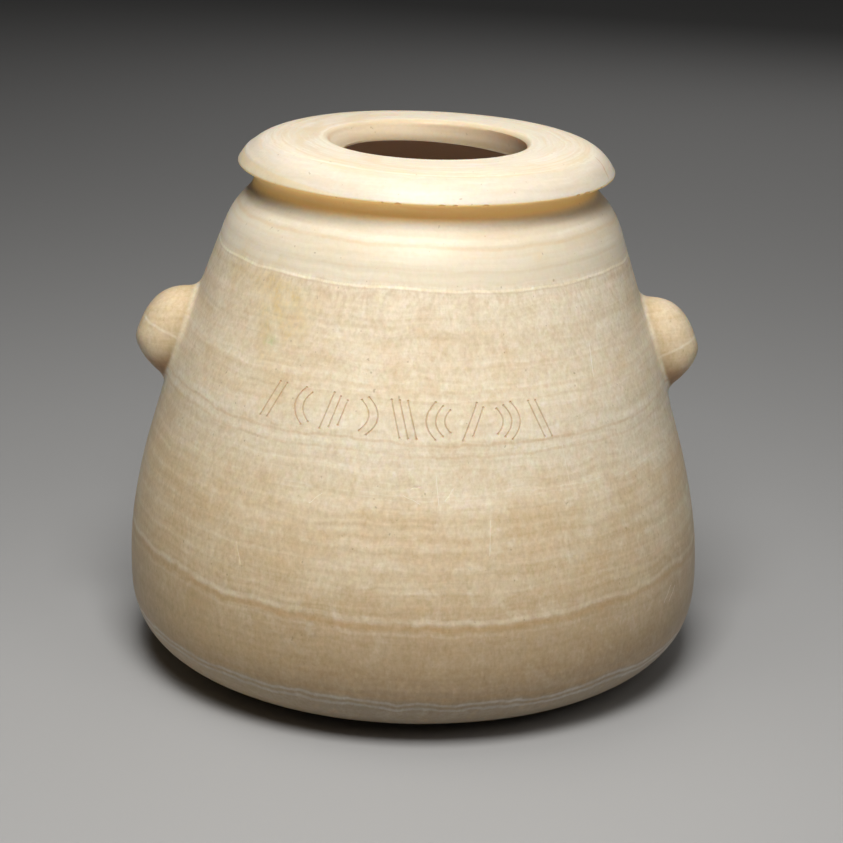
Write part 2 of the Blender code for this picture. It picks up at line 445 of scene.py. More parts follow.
def wall_rings():
    """The wall above the girth, finer where the lugs stand."""
    rings = []
    height = GIRTH_HEIGHT
    while height < NECK_FOOT_HEIGHT - WALL_STEP / 2:
        by_lug = abs(height - LUG_HEIGHT) < FIELD_HALF_LENGTH
        step = LUG_STEP if by_lug else WALL_STEP * (1 - 0.6 * climb_share(height) ** 4)
        height = min(height + step, NECK_FOOT_HEIGHT)
        rings.append(level_ring(wall_radius(height), height))
    return rings


def round_edge(radius, height, size, start, end):
    """Points of a small rounded edge about a centre, as (radius, height)."""
    angles = [start + (end - start) * k / ROUND_STEPS for k in range(ROUND_STEPS + 1)]
    return [(radius + size * cos(angle), height + size * sin(angle)) for angle in angles]


def lip_rings():
    """The lip, from its thin rim over the nearly flat top to the rounded edge of the mouth."""
    rim_middle = LIP_RADIUS - LIP_EDGE_ROUND
    points = round_edge(rim_middle, LIP_EDGE_HEIGHT, LIP_EDGE_ROUND, LIP_EDGE_START, LIP_EDGE_END)
    rim, rim_height = points[-1]
    for k in range(1, LIP_STEPS + 1):
        out = 1 - (k / LIP_STEPS) ** 1.7
        height = MOUTH_HEIGHT - (MOUTH_HEIGHT - rim_height) * out**LIP_FULLNESS
        points.append((TOP_RADIUS + (rim - TOP_RADIUS) * out, height))
    roll_height = MOUTH_HEIGHT - MOUTH_ROUND
    points += round_edge(TOP_RADIUS, roll_height, MOUTH_ROUND, MOUTH_EDGE_START, MOUTH_EDGE_END)
    middle = axis_shift(NECK_FOOT_HEIGHT) + LIP_SHIFT
    rings = []
    for radius, height in points:
        inward = (LIP_RADIUS - radius) / (LIP_RADIUS - MOUTH_RADIUS)
        rings.append((radius, height, LIP_TILT, middle + MOUTH_SHIFT * inward))
    return rings


def between(one, other, steps):
    """Rings evenly set between two others."""
    one, other = np.array(one), np.array(other)
    return [tuple(one + (other - one) * k / steps) for k in range(1, steps)]


def cavity_rings(mouth):
    """The hollow: the skewed throat, a roof arching out under the lip, the wall and the floor."""
    askew = LIP_SHIFT + MOUTH_SHIFT + THROAT_SHIFT
    middle = axis_shift(NECK_FOOT_HEIGHT) + askew
    throat = (THROAT_RADIUS, THROAT_HEIGHT, THROAT_TILT, middle)
    rings = between(mouth, throat, THROAT_STEPS) + [throat]
    top = THROAT_HEIGHT - THROAT_EDGE
    spring = top - ROOF_DEPTH
    spread = wall_radius(spring) - WALL - THROAT_RADIUS
    for k in range(ROOF_STEPS + 1):
        left = 1 - k / ROOF_STEPS
        out, up = full_arc(k / ROOF_STEPS, ROOF_FULLNESS)
        height = spring + ROOF_DEPTH * up
        shift = axis_shift(height) + askew * left
        rings.append((THROAT_RADIUS + spread * out, height, THROAT_TILT * left, shift))
    for k in range(1, INNER_WALL_STEPS):
        height = spring + (GIRTH_HEIGHT - spring) * k / INNER_WALL_STEPS
        rings.append(level_ring(wall_radius(height) - WALL, height))
    return rings + foot_rings(GIRTH_RADIUS - WALL, FLOOR, INNER_FOOT_STEPS)[::-1]


def disc_rings(height):
    """Rings of a flat disc from its middle out towards the resting radius."""
    return [level_ring(REST_RADIUS * k / DISC_STEPS, height) for k in range(DISC_STEPS)]


def softened(rings, rounds):
    """Rings with their corners cut again and again, which leaves one smooth curve."""
    for _ in range(rounds):
        cut = [rings[0]]
        for one, other in zip(np.array(rings), np.array(rings[1:])):
            cut += [tuple(one * 0.75 + other * 0.25), tuple(one * 0.25 + other * 0.75)]
        rings = cut + [rings[-1]]
    return rings


def neck_rings(shoulder, rim):
    """The hollow that runs from the shoulder up the short neck and out under the lip."""
    narrow = NECK_RADIUS - NECK_TAPER
    stations = (
        (NECK_RADIUS + 0.0004, NECK_FOOT_HEIGHT + 0.0006),
        (narrow, NECK_FOOT_HEIGHT + NECK_LENGTH * 0.5),
        (narrow - 0.0008, NECK_FOOT_HEIGHT + NECK_LENGTH),
        (narrow + LIP_OVERHANG * 0.3, NECK_FOOT_HEIGHT + NECK_LENGTH + LIP_UNDERSIDE_RISE * 0.6),
    )
    return softened([shoulder, *(level_ring(*station) for station in stations), rim], 2)[1:-1]


def all_rings():
    """Every ring of the turned form, from the middle of the underside to the middle of the floor."""
    wall = [ring for ring in wall_rings() if ring[1] < NECK_FOOT_HEIGHT - SHOULDER_SOFTNESS]
    rings = disc_rings(0.0) + foot_rings(GIRTH_RADIUS, 0.0, FOOT_STEPS) + wall
    lip = lip_rings()
    rings += neck_rings(rings[-1], lip[0]) + lip
    return rings + cavity_rings(lip[-1]) + disc_rings(FLOOR)[::-1]


def turning_tree(stone):
    """Tree that turns a line of rings into a closed form, its columns crowded towards the lugs."""
    inputs = {
        "Ring Count": ("NodeSocketInt", 100),
        "Turn Count": ("NodeSocketInt", TURNS),
        "Crowding": ("NodeSocketFloat", CROWDING),
        "Stone": ("NodeSocketMaterial", None),
    }
    graph, given = geometry_tree("turned form", inputs)
    turns = given.output("Turn Count")
    sizes = {"Size X": 1.0, "Size Y": 1.0, "Vertices X": given.output("Ring Count"), "Vertices Y": turns + 1}
    grid = graph.add("GeometryNodeMeshGrid", {}, sizes)
    index = graph.add("GeometryNodeInputIndex")
    row = index.maths("FLOOR", (index + 0.5) / (turns + 1))
    share = (index - row * (turns + 1)) / turns

    def of_ring(name):
        value = graph.add("GeometryNodeInputNamedAttribute", {"data_type": "FLOAT"}, {"Name": name})
        sockets = {"Geometry": given.output("Geometry"), "Value": value, "Index": row}
        return graph.add("GeometryNodeSampleIndex", {"data_type": "FLOAT"}, sockets)

    radius, height, tilt, shift = (of_ring(name) for name in ("radius", "height", "tilt", "shift"))
    angle = share * (2 * pi) - given.output("Crowding") * share.maths("SINE", share * (4 * pi)) / 2
    across = radius * angle.maths("COSINE", angle)
    x = shift + across * tilt.maths("COSINE", tilt)
    y = radius * angle.maths("SINE", angle)
    z = height - across * tilt.maths("SINE", tilt)
    placed = graph.add("GeometryNodeSetPosition", {}, {"Geometry": grid, "Position": graph.vector(x, y, z)})
    closed = graph.add("GeometryNodeMergeByDistance", {}, {"Geometry": placed, "Distance": 0.00001})
    close_tree(graph, closed, stone)
    return graph


def turned_form(stone):
    """The jar without its lugs, as an object with a plain mesh."""
    rings = all_rings()
    line = bpy.data.meshes.new("rings")
    line.vertices.add(len(rings))
    for name, values in zip(("radius", "height", "tilt", "shift"), zip(*rings)):
        line.attributes.new(name, "FLOAT", "POINT").data.foreach_set("value", values)
    guide = new_object("ring_guide", line)
    values = {"Ring Count": len(rings), "Turn Count": TURNS, "Crowding": CROWDING, "Stone": stone}
    made = grow(guide, turning_tree(stone), values)
    bpy.data.objects.remove(guide)
    turn_outwards(made)
    return new_object("carved_jar", made)


def wearing_tree(stone):
    """Tree that lets the stone's surface waver inwards, as ground by hand, but not where it stands."""
    inputs = {
        "Unevenness": ("NodeSocketFloat", UNEVENNESS),
        "Unevenness Size": ("NodeSocketFloat", UNEVENNESS_SIZE),
        "Seed": ("NodeSocketFloat", UNEVENNESS_SEED),
        "Stone": ("NodeSocketMaterial", None),
    }
    graph, given = geometry_tree("hand finish", inputs)
    place = graph.add("GeometryNodeInputPosition")
    sockets = {"Vector": place, "W": given.output("Seed"), "Scale": given.output("Unevenness Size")}
    noise = graph.add("ShaderNodeTexNoise", {"noise_dimensions": "4D"}, {**sockets, "Detail": 2.0})
    depth = (noise - 0.75).maths("MINIMUM", noise - 0.75, 0.0) * given.output("Unevenness")
    above = graph.add("ShaderNodeSeparateXYZ", {}, {0: place}).output("Z")
    depth = depth * graph.ramp(above, 0.001, 0.008)
    normal = graph.add("GeometryNodeInputNormal")
    inward = graph.add("ShaderNodeVectorMath", {"operation": "SCALE"}, {0: normal, "Scale": depth})
    worn = graph.add("GeometryNodeSetPosition", {}, {"Geometry": given.output("Geometry"), "Offset": inward})
    close_tree(graph, worn, stone)
    return graph


def wear(jar, stone):
    """Gives the whole surface the slight unevenness of handwork."""
    values = {"Unevenness": UNEVENNESS, "Unevenness Size": UNEVENNESS_SIZE}
    jar.data = grow(jar, wearing_tree(stone), {**values, "Seed": UNEVENNESS_SEED, "Stone": stone})


def turn_outwards(mesh):
    """Points every face of a closed mesh out of the stone."""
    work = bmesh.new()
    work.from_mesh(mesh)
    bmesh.ops.recalc_face_normals(work, faces=work.faces)
    work.to_mesh(mesh)
    work.free()


def points_of(mesh):
    places = np.zeros(len(mesh.vertices) * 3)
    mesh.vertices.foreach_get("co", places)
    return places.reshape(-1, 3)


def lug_reach(share):
    """How far a lug stands out at a share of its half length: full above, drawn in below."""
    if share > 0:
        return LUG_REACH * (1 - share**LUG_TOP_FULLNESS) ** (1 / LUG_TOP_FULLNESS)
    return LUG_REACH * (1 - (-share) ** LUG_UNDERSIDE_FULLNESS)


def lug_width(share):
    """Half thickness of a lug at a share of its half length."""
    return LUG_HALF_WIDTH * (1 - abs(share) ** LUG_WIDTH_FULLNESS) ** (1 / LUG_WIDTH_FULLNESS)


def lug_form(side):
    """A finely cut solid ear on the side 1 (right) or -1, as a tree of its faces to measure from."""
    turned = Matrix.Rotation(LUG_TURN, 3, "Z")
    mesh = bmesh.new()
    rings = []
    for k in range(1, LUG_SECTIONS):
        share = -cos(pi * k / LUG_SECTIONS)
        height = LUG_HEIGHT + LUG_HALF_LENGTH * share
        width = lug_width(share)
        reach = lug_reach(share)
        radius = wall_radius(height)
        outline = [(radius - LUG_ROOT, width), (radius - LUG_ROOT, -width)]
        for j in range(LUG_FACE_STEPS + 1):
            turn = 2 * j / LUG_FACE_STEPS - 1
            across, out = full_arc(abs(turn), LUG_FACE_FULLNESS)
            y = width * across * (1 if turn > 0 else -1)
            outline.append((sqrt(radius**2 - y**2) + reach * out, y))
        ring = []
        for x, y in outline:
            level = height - side * x * sin(LUG_TILT)
            place = turned @ Vector((side * x, side * y, level))
            ring.append(mesh.verts.new(place + Vector((axis_shift(height), 0.0, 0.0))))
        rings.append(ring)
    mesh.faces.new(reversed(rings[0]))
    mesh.faces.new(rings[-1])
    for below, above in zip(rings, rings[1:]):
        for k in range(len(below)):
            after = (k + 1) % len(below)
            mesh.faces.new((below[k], below[after], above[after], above[k]))
    bmesh.ops.recalc_face_normals(mesh, faces=mesh.faces)
    bmesh.ops.triangulate(mesh, faces=mesh.faces)
    tree = BVHTree.FromBMesh(mesh)
    mesh.free()
    return tree


def out_of_wall(place):
    """Distance of a point outside the plain wall, and the way that leads straight out."""
    radius = wall_radius(place.z)
    fall = (wall_radius(place.z + MM) - radius) / MM
    level = Vector((place.x - axis_shift(place.z), place.y, 0.0))
    distance = level.length
    way = (level / distance - Vector((0.0, 0.0, fall))).normalized()
    return (distance - radius) * way.xy.length, way


def in_lug(place):
    """Whether a point is inside the lug on its side of the jar, by the same rules as the lug's form."""
    side = 1 if place.x > 0 else -1
    level = place - Vector((axis_shift(place.z), 0.0, 0.0))
    local = Matrix.Rotation(-LUG_TURN, 3, "Z") @ level
    out, back = side * local.x, abs(local.y)
    height = place.z + side * out * sin(LUG_TILT)
    share = (height - LUG_HEIGHT) / LUG_HALF_LENGTH
    if abs(share) >= 1 or back >= lug_width(share):
        return False
    across = back / lug_width(share)
    reach = lug_reach(share) * (1 - across**LUG_FACE_FULLNESS) ** (1 / LUG_FACE_FULLNESS)
    radius = wall_radius(height)
    return radius - LUG_ROOT < out < sqrt(radius**2 - back**2) + reach


def out_of_lug(tree, place):
    """Distance of a point outside a lug, negative inside it, and the way that leads straight out."""
    nearest, normal, _, distance = tree.find_nearest(place)
    if distance < MM * 0.001:
        return 0.0, normal
    way = (place - nearest) / distance
    return (-distance, -way) if in_lug(place) else (distance, way)


def soft_union(tree, place):
    """Distance outside the wall and a lug joined by a soft hollow, and the way that leads straight out."""
    wall, wall_way = out_of_wall(place)
    lug, lug_way = out_of_lug(tree, place)
    share = min(max(0.5 + (lug - wall) / (2 * LUG_FILLET), 0.0), 1.0)
    gap = lug + (wall - lug) * share - LUG_FILLET * share * (1 - share)
    return gap, lug_way * (1 - share) + wall_way * share


def settle(tree, place):
    """Moves a point that is near the surface straight onto it."""
    for _ in range(2):
        gap, way = soft_union(tree, place)
        place = place - way * (gap / max(way.length_squared, 0.2))
    return place


def field_middle(side):
    """How far back the middle of a lug stands."""
    return side * wall_radius(LUG_HEIGHT) * sin(LUG_TURN)


def on_plain_wall(side, across, up):
    """Place on the wall at a distance across and above the middle of a lug."""
    height = LUG_HEIGHT + up
    back = field_middle(side) + across
    return Vector((axis_shift(height) + side * sqrt(wall_radius(height) ** 2 - back**2), back, height))


def lug_lines(tree, side):
    """Evenly pointed lines over a lug, each from its middle out to the edge of the field."""
    eye = on_plain_wall(side, 0.0, 0.0) - Vector((side * FIELD_EYE_DEPTH, 0.0, 0.0))
    lines = []
    for turn in range(LUG_LINES):
        angle = 2 * pi * turn / LUG_LINES
        corner = abs(cos(angle)) ** FIELD_SQUARENESS + abs(sin(angle)) ** FIELD_SQUARENESS
        corner = corner ** (1 / FIELD_SQUARENESS)
        line = []
        for step in range(LUG_LINE_STEPS + 1):
            out = (step / LUG_LINE_STEPS) ** 1.6 / corner
            across = FIELD_HALF_WIDTH * cos(angle) * out
            foot = on_plain_wall(side, across, FIELD_HALF_LENGTH * sin(angle) * out)
            way = (foot - eye).normalized()
            near, far = (foot - eye).length * 0.98, (foot - eye).length + LUG_REACH + LUG_FILLET
            for _ in range(9):
                half = (near + far) / 2
                if soft_union(tree, eye + way * half)[0] < 0:
                    near = half
                else:
                    far = half
            line.append(eye + way * near)
        line = np.array(line)
        run = np.concatenate([[0.0], np.cumsum(np.linalg.norm(np.diff(line, axis=0), axis=1))])
        even = np.linspace(0.0, run[-1], LUG_LINE_STEPS + 1)
        lines.append(np.stack([np.interp(even, run, line[:, axis]) for axis in range(3)], axis=1))
    return np.array(lines)


def raise_lug(mesh, side):
    """Draws the wall's mesh out over one lug and its soft joint."""
    tree = lug_form(side)
    lines = lug_lines(tree, side)
    places = points_of(mesh)
    across = (places[:, 1] - field_middle(side)) / FIELD_HALF_WIDTH
    up = (places[:, 2] - LUG_HEIGHT) / FIELD_HALF_LENGTH
    out = (np.abs(across) ** FIELD_SQUARENESS + np.abs(up) ** FIELD_SQUARENESS) ** (1 / FIELD_SQUARENESS)
    for k in np.flatnonzero((out < 1.0) & (side * places[:, 0] > 0)):
        if np.hypot(places[k, 0], places[k, 1]) < wall_radius(places[k, 2]) - WALL / 2:
            continue
        turn = np.arctan2(up[k], across[k]) / (2 * pi) % 1.0 * LUG_LINES
        step = min(out[k] * LUG_LINE_STEPS, LUG_LINE_STEPS - 0.001)
        row, column = int(turn), int(step)
        rows = lines[[row % LUG_LINES, (row + 1) % LUG_LINES]]
        ends = rows[:, column] + (rows[:, column + 1] - rows[:, column]) * (step - column)
        places[k] = settle(tree, Vector(ends[0] + (ends[1] - ends[0]) * (turn - row)))
    mesh.vertices.foreach_set("co", places.ravel())
    mesh.update()


def grind_rim(mesh):
    """Turns the outer part of the lip on the left into a straight facet with an edge above it."""
    places = points_of(mesh)
    middle = axis_shift(NECK_FOOT_HEIGHT) + LIP_SHIFT
    x = places[:, 0] - middle
    height = places[:, 2] + x * sin(LIP_TILT)
    inward = LIP_RADIUS - np.hypot(x, places[:, 1])
    angle = np.arctan2(x, -places[:, 1])
    on_top = (height > LIP_EDGE_HEIGHT + LIP_EDGE_ROUND * 0.5) & (inward < LIP_RADIUS - TOP_RADIUS)
    strength = np.clip(1 - ((angle - FACET_MIDDLE) / FACET_HALF_TURN) ** 2, 0, 1)
    edge = FACET_WIDTH * strength
    run = np.maximum(inward, 0) / MM
    full = LIP_RADIUS - LIP_EDGE_ROUND - TOP_RADIUS

    def top(distance):
        out = np.clip(1 - distance / full, 0, 1)
        return MOUTH_HEIGHT - LIP_RISE * out**LIP_FULLNESS

    moved = inward + (edge - FACET_WIDTH * 0.5) * np.exp(-((run - 1.8) / 1.6) ** 2) * strength * 0.6
    past = np.maximum(moved - edge, 0)
    facet = LIP_EDGE_HEIGHT + (top(edge) - LIP_EDGE_HEIGHT) * np.clip(moved / np.maximum(edge, 1e-6), 0, 1)
    dip = FACET_DIP * strength * (1 - np.exp(-past / (1.6 * MM))) * np.exp(-past / FACET_FALL)
    ground = np.where(moved < edge, np.minimum(facet, top(moved)), top(moved) - dip)
    change = np.where(on_top & (strength > 0.02), ground - top(inward), 0.0)
    places[:, 2] += np.clip(change, -0.002, 0.0)
    mesh.vertices.foreach_set("co", places.ravel())
    mesh.update()


def wall_place(angle, height):
    """Place and outward direction on the wall, at an angle from the front."""
    fall = (wall_radius(height + MM) - wall_radius(height - MM)) / (2 * MM)
    outward = Vector((sin(angle), -cos(angle), -fall)).normalized()
    radius = wall_radius(height)
    place = Vector((axis_shift(height) + radius * sin(angle), -radius * cos(angle), height))
    return place, outward


def row_place(along, up):
    """Wall place at a distance along the row and above its middle line."""
    angle = (ROW_START + ROW_END) / 2 + along / wall_radius(ROW_HEIGHT)
    return wall_place(angle, ROW_HEIGHT + up - along * sin(ROW_TILT))[0]


def stroke_line(middle, lean, bulge, length):
    """Points of one stroke as (along, up), straight or bowed to one side."""
    line = []
    for k in range(STROKE_STEPS + 1):
        share = k / STROKE_STEPS
        sideways = lean * (share - 0.5) + bulge * (4 * share * (1 - share) - 0.5)
        line.append((middle + sideways * length, (share - 0.5) * length))
    return line


def row_lines():
    """Centre lines of all the strokes of the row."""
    row_length = (ROW_END - ROW_START) * wall_radius(ROW_HEIGHT)
    lines = []
    for number, (count, lean, bulge, shorter) in enumerate(MARKS):
        middle = row_length * ((number + 0.5) / len(MARKS) - 0.5)
        for k in range(count):
            steps_down = k if shorter > 0 else count - 1 - k
            length = MARK_HEIGHT * (1 - abs(shorter) * steps_down)
            lines.append(stroke_line(middle + (k - (count - 1) / 2) * STROKE_GAP, lean, bulge, length))
    return lines


def graving_tree(stone):
    """Tree that turns lines on the wall into the shape a graver cuts, or into the drilled ends of it."""
    inputs = {
        "Cut Width": ("NodeSocketFloat", STROKE_WIDTH),
        "End Radius": ("NodeSocketFloat", STROKE_END),
        "Ends": ("NodeSocketBool", False),
        "Stone": ("NodeSocketMaterial", None),
    }
    graph, given = geometry_tree("graver cuts", inputs)
    lines = given.output("Geometry")
    width = given.output("Cut Width")
    section = graph.add("GeometryNodeCurvePrimitiveCircle", {}, {"Resolution": 8, "Radius": width / 2})
    sockets = {"Curve": lines, "Profile Curve": section, "Fill Caps": True}
    cut = graph.add("GeometryNodeCurveToMesh", {}, sockets)
    sockets = {"Radius": given.output("End Radius"), "Subdivisions": 3}
    ball = graph.add("GeometryNodeMeshIcoSphere", {}, sockets)
    ends = graph.add("GeometryNodeCurveEndpointSelection")
    sockets = {"Points": lines, "Selection": ends, "Instance": ball}
    pits = graph.add("GeometryNodeInstanceOnPoints", {}, sockets)
    sockets = {"Switch": given.output("Ends"), "False": cut, "True": pits}
    close_tree(graph, graph.add("GeometryNodeSwitch", {"input_type": "GEOMETRY"}, sockets), stone)
    return graph


def line_cutter(name, lines, stone, width, end_radius, ends):
    """A cutting form along lines on the wall, each a list of places."""
    curve = bpy.data.curves.new(name, "CURVE")
    curve.dimensions = "3D"
    for line in lines:
        spline = curve.splines.new("POLY")
        spline.points.add(len(line) - 1)
        for point, place in zip(spline.points, line):
            point.co = (*place, 1.0)
    guide = new_object(name + "_guide", curve)
    values = {"Cut Width": width, "End Radius": end_radius, "Ends": ends, "Stone": stone}
    made = grow(guide, graving_tree(stone), values)
    bpy.data.objects.remove(guide)
    turn_outwards(made)
    return new_object(name, made)


def cut_strokes(jar, stone):
    """Cuts the row of strokes, then drills their ends."""
    lines = [[row_place(*place) for place in line] for line in row_lines()]
    for ends in (False, True):
        cut_with(jar, line_cutter("stroke_cutter", lines, stone, STROKE_WIDTH, STROKE_END, ends))


def scratch_line(start, end):
    """Places along a shallow scratch between two points of the wall, each an angle and a height."""
    places = []
    for k in range(STROKE_STEPS + 1):
        share = k / STROKE_STEPS
        degrees = start[0] + (end[0] - start[0]) * share
        height = start[1] + (end[1] - start[1]) * share + 0.15 * sin(9 * share + start[1])
        place, outward = wall_place(radians(degrees), height * MM)
        places.append(place + outward * SCRATCH_RISE)
    return places


def cut_scratches(jar, stone):
    """Scores the old scratches into the wall."""
    lines = [scratch_line(start, end) for start, end in SCRATCHES]
    cut_with(jar, line_cutter("scratch_cutter", lines, stone, SCRATCH_WIDTH, SCRATCH_WIDTH / 2, False))


def chip_cutter(stone):
    """Lumps that bite small chips out of the lip's lower edge, and beads that leave pits in the wall."""
    work = bmesh.new()
    rng = np.random.default_rng(CHIP_SEED)
    middle = axis_shift(NECK_FOOT_HEIGHT) + LIP_SHIFT
    for degrees, length, size in CHIPS:
        angle = radians(degrees)
        level = LIP_EDGE_HEIGHT - LIP_RADIUS * sin(angle) * sin(LIP_TILT)
        place = Vector((middle + LIP_RADIUS * sin(angle), -LIP_RADIUS * cos(angle), level - size * 0.55 * MM))
        spin = Matrix.Translation(place) @ Matrix.Rotation(angle, 4, "Z")
        spin = spin @ Matrix.Diagonal((length / 2 * MM, size * MM, size * 0.8 * MM, 1.0))
        lump = bmesh.ops.create_icosphere(work, subdivisions=3, radius=1.0)["verts"]
        for vert in lump:
            vert.co = spin @ (vert.co * rng.uniform(0.88, 1.08))
    for degrees, height, radius in WALL_PITS:
        place, outward = wall_place(radians(degrees), height * MM)
        place = Matrix.Translation(place + outward * radius * 0.35 * MM)
        bmesh.ops.create_icosphere(work, subdivisions=2, radius=radius * MM, matrix=place)
    mesh = bpy.data.meshes.new("chip_cutter")
    work.to_mesh(mesh)
    work.free()
    mesh.materials.append(stone)
    return new_object("chip_cutter", mesh)


def cut_with(target, tool):
    """Takes a cutting form out of the jar and throws the form away."""
    change = target.modifiers.new(tool.name, "BOOLEAN")
    change.operation = "DIFFERENCE"
    change.solver = "MANIFOLD"
    change.material_mode = "TRANSFER"
    change.object = tool
    depsgraph = bpy.context.evaluated_depsgraph_get()
    made = bpy.data.meshes.new_from_object(target.evaluated_get(depsgraph))
    target.modifiers.remove(change)
    target.data = made
    bpy.data.objects.remove(tool)


def keep_materials(mesh, kept):
    """Leaves a mesh with just the kept materials, each face with its own."""
    slots = np.array([kept.index(one) if one in kept else 0 for one in mesh.materials])
    slot_of_face = np.zeros(len(mesh.polygons), int)
    mesh.polygons.foreach_get("material_index", slot_of_face)
    mesh.materials.clear()
    for one in kept:
        mesh.materials.append(one)
    mesh.polygons.foreach_set("material_index", slots[slot_of_face])
    mesh.update()


# Colours of the stone, its beds, stains and overlays, with painted shade and painted glow
WHITE = (0.92, 0.86, 0.73)
VEIN = (0.93, 0.83, 0.64)
BLUISH = (0.72, 0.71, 0.66)
BROWN = (0.55, 0.36, 0.17)
CUT_DIRT_AND_SHADE = (0.47, 0.29, 0.12)
TAN = (0.68, 0.50, 0.29)
CREAM = (0.88, 0.79, 0.62)
ROSE = (0.66, 0.48, 0.33)
PALE = (0.97, 0.92, 0.82)
CLOUD_LIGHT = (0.84, 0.745, 0.565)
CLOUD_DARK = (0.73, 0.56, 0.355)
PATCH_LIGHT = (0.88, 0.80, 0.64)
PATCH_DARK = (0.62, 0.45, 0.26)
PAINTED_LEFT_SHADE_WARM = (0.76, 0.56, 0.29)
PAINTED_NECK_SHADE_AMBER = (0.93, 0.66, 0.27)
TURNED_DARK = (0.76, 0.61, 0.40)
TURNED_LIGHT = (0.88, 0.80, 0.65)
CRACK_BROWN = (0.54, 0.31, 0.14)
PAINTED_FACET_SHADE = (0.78, 0.64, 0.42)
MOUTH_TAN = (0.68, 0.55, 0.37)
PAINTED_THROAT_SHADE = (0.40, 0.28, 0.16)
PAINTED_HOLLOW_SHADE = (0.55, 0.44, 0.33)
LUG_TAN_AND_JOINT_SHADE = (0.58, 0.44, 0.255)
PAINTED_UNDER_LUG_SHADE = (0.34, 0.19, 0.09)
SPECK_BROWN = (0.36, 0.25, 0.13)
PAINTED_NECK_GLOW = (0.140, 0.086, 0.026)
PAINTED_HOLLOW_GLOW = (0.022, 0.0125, 0.0080)
BLACK = (0.0, 0.0, 0.0)

# The thin bright vein that parts the shoulder from the wall, in mm
VEIN_HEIGHT = 176.3
VEIN_HALF = 0.75

# Beds of the stone: height in mm at the front, half thickness in mm, strength, colour
BEDS_A_RAMP = 8
BEDS = (
    (18.2, 1.1, 0.40, BLUISH),
    (20.8, 1.0, 0.45, BLUISH),
    (23.6, 1.8, 0.25, BROWN),
    (50.4, 1.0, 0.16, CREAM),
    (53.0, 1.7, 0.62, BROWN),
    (55.9, 1.5, 0.42, CREAM),
    (61.0, 1.6, 0.22, BROWN),
    (64.8, 1.6, 0.20, TAN),
    (66.9, 0.8, 0.22, CREAM),
    (72.4, 1.9, 0.26, TAN),
    (76.0, 1.2, 0.22, CREAM),
    (79.5, 1.9, 0.28, TAN),
    (83.0, 1.2, 0.22, CREAM),
    (86.4, 1.8, 0.28, TAN),
    (89.8, 1.1, 0.20, CREAM),
    (93.8, 1.6, 0.24, TAN),
    (97.2, 0.9, 0.22, CREAM),
    (117.4, 0.8, 0.35, TAN),
    (119.4, 1.1, 0.35, CREAM),
    (121.6, 0.8, 0.50, TAN),
    (124.0, 1.3, 0.40, CREAM),
    (132.0, 1.8, 0.20, TAN),
    (136.8, 0.7, 0.20, BROWN),
    (140.5, 1.2, 0.28, TAN),
    (143.5, 0.9, 0.25, CREAM),
    (149.0, 0.9, 0.22, TAN),
    (157.0, 1.0, 0.22, CREAM),
    (161.5, 1.2, 0.18, TAN),
    (173.2, 2.0, 0.20, ROSE),
    (175.4, 0.5, 0.35, ROSE),
    (178.2, 0.9, 0.20, TAN),
    (180.6, 1.3, 0.25, CREAM),
    (183.2, 0.8, 0.18, TAN),
    (185.4, 1.1, 0.20, CREAM),
    (188.4, 0.9, 0.16, TAN),
    (191.2, 0.9, 0.42, TAN),
    (193.4, 1.7, 0.32, WHITE),
)
FINE_BEDS = (
    (101.3, 0.45, 0.20, WHITE),
    (103.0, 0.45, 0.26, WHITE),
    (105.0, 0.45, 0.18, WHITE),
    (107.2, 0.55, 0.24, WHITE),
    (111.6, 0.50, 0.18, WHITE),
)
LIP_BEDS = (
    (217.20, 0.16, 0.25, TAN),
    (217.48, 0.14, 0.20, WHITE),
    (217.80, 0.12, 0.35, TAN),
    (218.15, 0.10, 0.40, TAN),
    (218.50, 0.10, 0.40, TAN),
)

# Ground tone by height in mm at the front, the stone's own tone darkened towards the foot as painted shade,
# and the height in mm that its ramp runs to
TONE_SPAN = 220
TONES_WITH_PAINTED_SHADE = (
    (0.0, (0.35, 0.28, 0.20)),
    (18.0, (0.38, 0.305, 0.215)),
    (24.0, (0.42, 0.31, 0.19)),
    (36.0, (0.475, 0.35, 0.205)),
    (50.0, (0.565, 0.425, 0.26)),
    (60.0, (0.65, 0.505, 0.32)),
    (70.0, (0.71, 0.57, 0.38)),
    (95.0, (0.745, 0.605, 0.41)),
    (105.0, (0.81, 0.69, 0.505)),
    (120.0, (0.83, 0.735, 0.575)),
    (135.0, (0.81, 0.70, 0.52)),
    (150.0, (0.775, 0.66, 0.49)),
    (172.0, (0.78, 0.675, 0.505)),
    (178.0, (0.79, 0.705, 0.55)),
    (190.5, (0.73, 0.65, 0.505)),
    (193.0, (0.69, 0.60, 0.46)),
    (206.0, (0.69, 0.61, 0.485)),
    (209.0, (0.72, 0.645, 0.53)),
    (216.9, (0.72, 0.64, 0.515)),
    (217.4, (0.76, 0.67, 0.52)),
    (218.6, (0.76, 0.66, 0.50)),
    (218.8, (0.80, 0.71, 0.56)),
)

# Height and radius that the ramp of the hollow's edge runs to
RAMP_HEIGHT = 0.22
RAMP_RADIUS = 0.12

# Heights between which a tone fades in or out
NECK_START = (0.1980, 0.2025)
NECK_END = (0.2090, 0.2076)
LIP_START = (0.2085, 0.2110)
LIP_FLAT = (0.2155, 0.2175)
THROAT_SHADE = (0.2142, 0.2106)
HOLLOW_START = (0.2102, 0.2090)
LUG_START = (0.1100, 0.1120)
LUG_END = (0.1640, 0.1610)
LUG_VEIN_HEIGHT = 0.1357

# How the stone takes the light: share that goes in, how deep, how deep by colour, roughness, gloss
LIGHT_SHARE = 0.6
LIGHT_DEPTH = 0.0065
LIGHT_SPREAD = (1.0, 0.55, 0.25)
STONE_ROUGHNESS = 0.44
STONE_IOR = 1.5
STONE_GLOSS = 0.4
GRAIN_DEPTH = 0.0003

